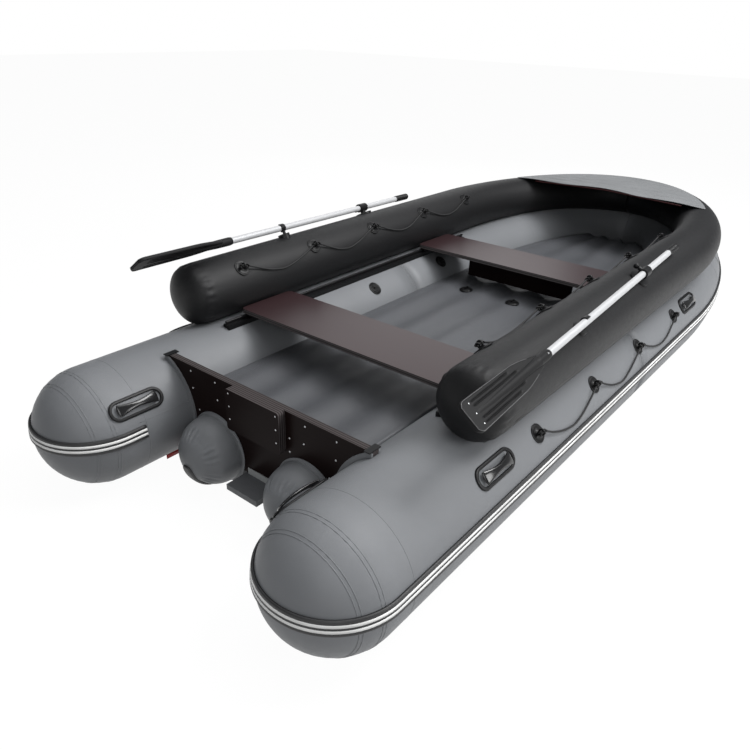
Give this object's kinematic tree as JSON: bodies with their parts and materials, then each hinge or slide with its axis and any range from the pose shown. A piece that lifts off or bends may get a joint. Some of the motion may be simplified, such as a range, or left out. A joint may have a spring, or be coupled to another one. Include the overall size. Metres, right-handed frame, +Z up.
{
  "type": "inflatable dinghy",
  "caption": "Inflatable dinghy with a grey U-shaped hull tube, black bulwark tube, plywood transom and sliding seats, stowed oars, lifelines and a bow canopy.",
  "frame": {"origin": "on the ground under the middle of the boat", "axes": "+X to the bow, +Y to port, +Z up"},
  "size_m": [4.8198, 1.8313, 0.8622],
  "materials": {
    "tube_grey": "coated satin",
    "tube_black": "coated satin",
    "strake": "matte",
    "stripe": "satin",
    "floor_grey": "coated satin",
    "plywood": "film-faced, semi-gloss",
    "seat_plywood": "film-faced, gloss",
    "trim_grey": "coated satin",
    "pale_plate": "matte",
    "red_cloth": "coated satin",
    "canopy_cloth": "woven matte",
    "black_plastic": "satin",
    "bright_metal": "polished",
    "shaft_aluminium": "anodised",
    "cord": "braided"
  },
  "bodies": {
    "hull": {"chamber_port_aft": "tube_grey", "chamber_starboard_aft": "tube_grey", "chamber_port_fore": "tube_grey", "chamber_starboard_fore": "tube_grey", "bulwark_port": "tube_black", "bulwark_starboard": "tube_black", "rub_strake": "strake", "strake_stripes": "stripe", "floor": "floor_grey", "keel_tube_port": "tube_grey", "keel_tube_starboard": "tube_grey", "bottom_sheet": "floor_grey", "pod_port": "tube_grey", "pod_starboard": "tube_grey", "keel_guards": "strake", "tunnel_flap": "trim_grey", "splash_plate": "pale_plate", "stern_gussets": "red_cloth", "transom_board": "plywood", "motor_pad": "plywood", "transom_holders": "black_plastic", "holder_caps": "bright_metal", "transom_screws": "bright_metal", "seat_rails": "black_plastic", "canopy": "canopy_cloth", "rowlock_bases": "black_plastic", "oar_clips": "black_plastic", "lifeline_eyes": "black_plastic", "lifeline_port_outer": "cord", "lifeline_starboard_outer": "cord", "lifeline_port_inner": "cord", "lifeline_starboard_inner": "cord", "handles": "black_plastic", "valve_bodies": "black_plastic", "floor_valve_bodies": "black_plastic", "tow_patches": "black_plastic"},
    "rear_seat": {"rear_seat_board": "seat_plywood", "rear_seat_slides": "black_plastic"},
    "front_seat": {"front_seat_board": "seat_plywood", "front_seat_slides": "black_plastic", "front_seat_panel": "plywood"},
    "oar_port": {"oar_shaft_port": "shaft_aluminium", "oar_blade_port": "black_plastic", "oar_grip_port": "black_plastic", "rowlock_collar_port": "black_plastic"},
    "clamp_knob_port": {"rowlock_knob_port": "black_plastic"},
    "tow_ring_body_port": {"tow_ring_port": "bright_metal"},
    "floor_cap_port": {"floor_valve_cap_port": "black_plastic"},
    "tube_cap_port_aft": {"valve_cap_port_aft": "black_plastic"},
    "tube_cap_port_fore": {"valve_cap_port_fore": "black_plastic"},
    "oar_starboard": {"oar_shaft_starboard": "shaft_aluminium", "oar_blade_starboard": "black_plastic", "oar_grip_starboard": "black_plastic", "rowlock_collar_starboard": "black_plastic"},
    "clamp_knob_starboard": {"rowlock_knob_starboard": "black_plastic"},
    "tow_ring_body_starboard": {"tow_ring_starboard": "bright_metal"},
    "floor_cap_starboard": {"floor_valve_cap_starboard": "black_plastic"},
    "tube_cap_starboard_aft": {"valve_cap_starboard_aft": "black_plastic"},
    "tube_cap_starboard_fore": {"valve_cap_starboard_fore": "black_plastic"}
  },
  "joints": [
    {"name": "rear_seat_slide", "type": "slide", "parent": "hull", "child": "rear_seat", "axis": [1, 0, 0], "range_m": [-0.1, 0.4]},
    {"name": "front_seat_slide", "type": "slide", "parent": "hull", "child": "front_seat", "axis": [1, 0, 0], "range_m": [-0.15, 0.1]},
    {"name": "oar_swing_port", "type": "hinge", "parent": "hull", "child": "oar_port", "pos_m": [-0.26, 0.8161, 0.77477], "axis": [0, 0.4695, 0.8829], "range_deg": [-95, 0]},
    {"name": "clamp_knob_turn_port", "type": "hinge", "parent": "oar_port", "child": "clamp_knob_port", "pos_m": [-0.26279, 0.85133, 0.75603], "axis": [-0.0698, 0.8808, -0.4683], "range_deg": [0, 360]},
    {"name": "tow_ring_swing_port", "type": "hinge", "parent": "hull", "child": "tow_ring_body_port", "pos_m": [1.63746, 0.63284, 0.62265], "axis": [0.8584, -0.513, 0], "range_deg": [0, 90]},
    {"name": "oar_swing_starboard", "type": "hinge", "parent": "hull", "child": "oar_starboard", "pos_m": [-0.26, -0.8161, 0.77477], "axis": [0, -0.4695, 0.8829], "range_deg": [0, 95]},
    {"name": "clamp_knob_turn_starboard", "type": "hinge", "parent": "oar_starboard", "child": "clamp_knob_starboard", "pos_m": [-0.26175, -0.78081, 0.79353], "axis": [-0.0436, 0.8821, 0.469], "range_deg": [0, 360]},
    {"name": "tow_ring_swing_starboard", "type": "hinge", "parent": "hull", "child": "tow_ring_body_starboard", "pos_m": [1.63746, -0.63284, 0.62265], "axis": [-0.8584, -0.513, 0], "range_deg": [0, 90]},
    {"name": "tube_cap_turn_port_aft", "type": "hinge", "parent": "hull", "child": "tube_cap_port_aft", "pos_m": [-0.52, 0.49423, 0.43621], "axis": [0, -0.6428, 0.766], "range_deg": [0, 90]},
    {"name": "tube_cap_turn_port_fore", "type": "hinge", "parent": "hull", "child": "tube_cap_port_fore", "pos_m": [0.13, 0.49423, 0.43621], "axis": [0, -0.6428, 0.766], "range_deg": [0, 90]},
    {"name": "tube_cap_turn_starboard_aft", "type": "hinge", "parent": "hull", "child": "tube_cap_starboard_aft", "pos_m": [-0.52, -0.49423, 0.43621], "axis": [0, 0.6428, 0.766], "range_deg": [0, 90]},
    {"name": "tube_cap_turn_starboard_fore", "type": "hinge", "parent": "hull", "child": "tube_cap_starboard_fore", "pos_m": [0.13, -0.49423, 0.43621], "axis": [0, 0.6428, 0.766], "range_deg": [0, 90]},
    {"name": "floor_cap_turn_port", "type": "hinge", "parent": "hull", "child": "floor_cap_port", "pos_m": [-0.02, 0.2096, 0.3673], "axis": [0, 0, 1], "range_deg": [0, 90]},
    {"name": "floor_cap_turn_starboard", "type": "hinge", "parent": "hull", "child": "floor_cap_starboard", "pos_m": [-0.05, -0.1048, 0.3783], "axis": [0, 0, 1], "range_deg": [0, 90]}
  ]
}
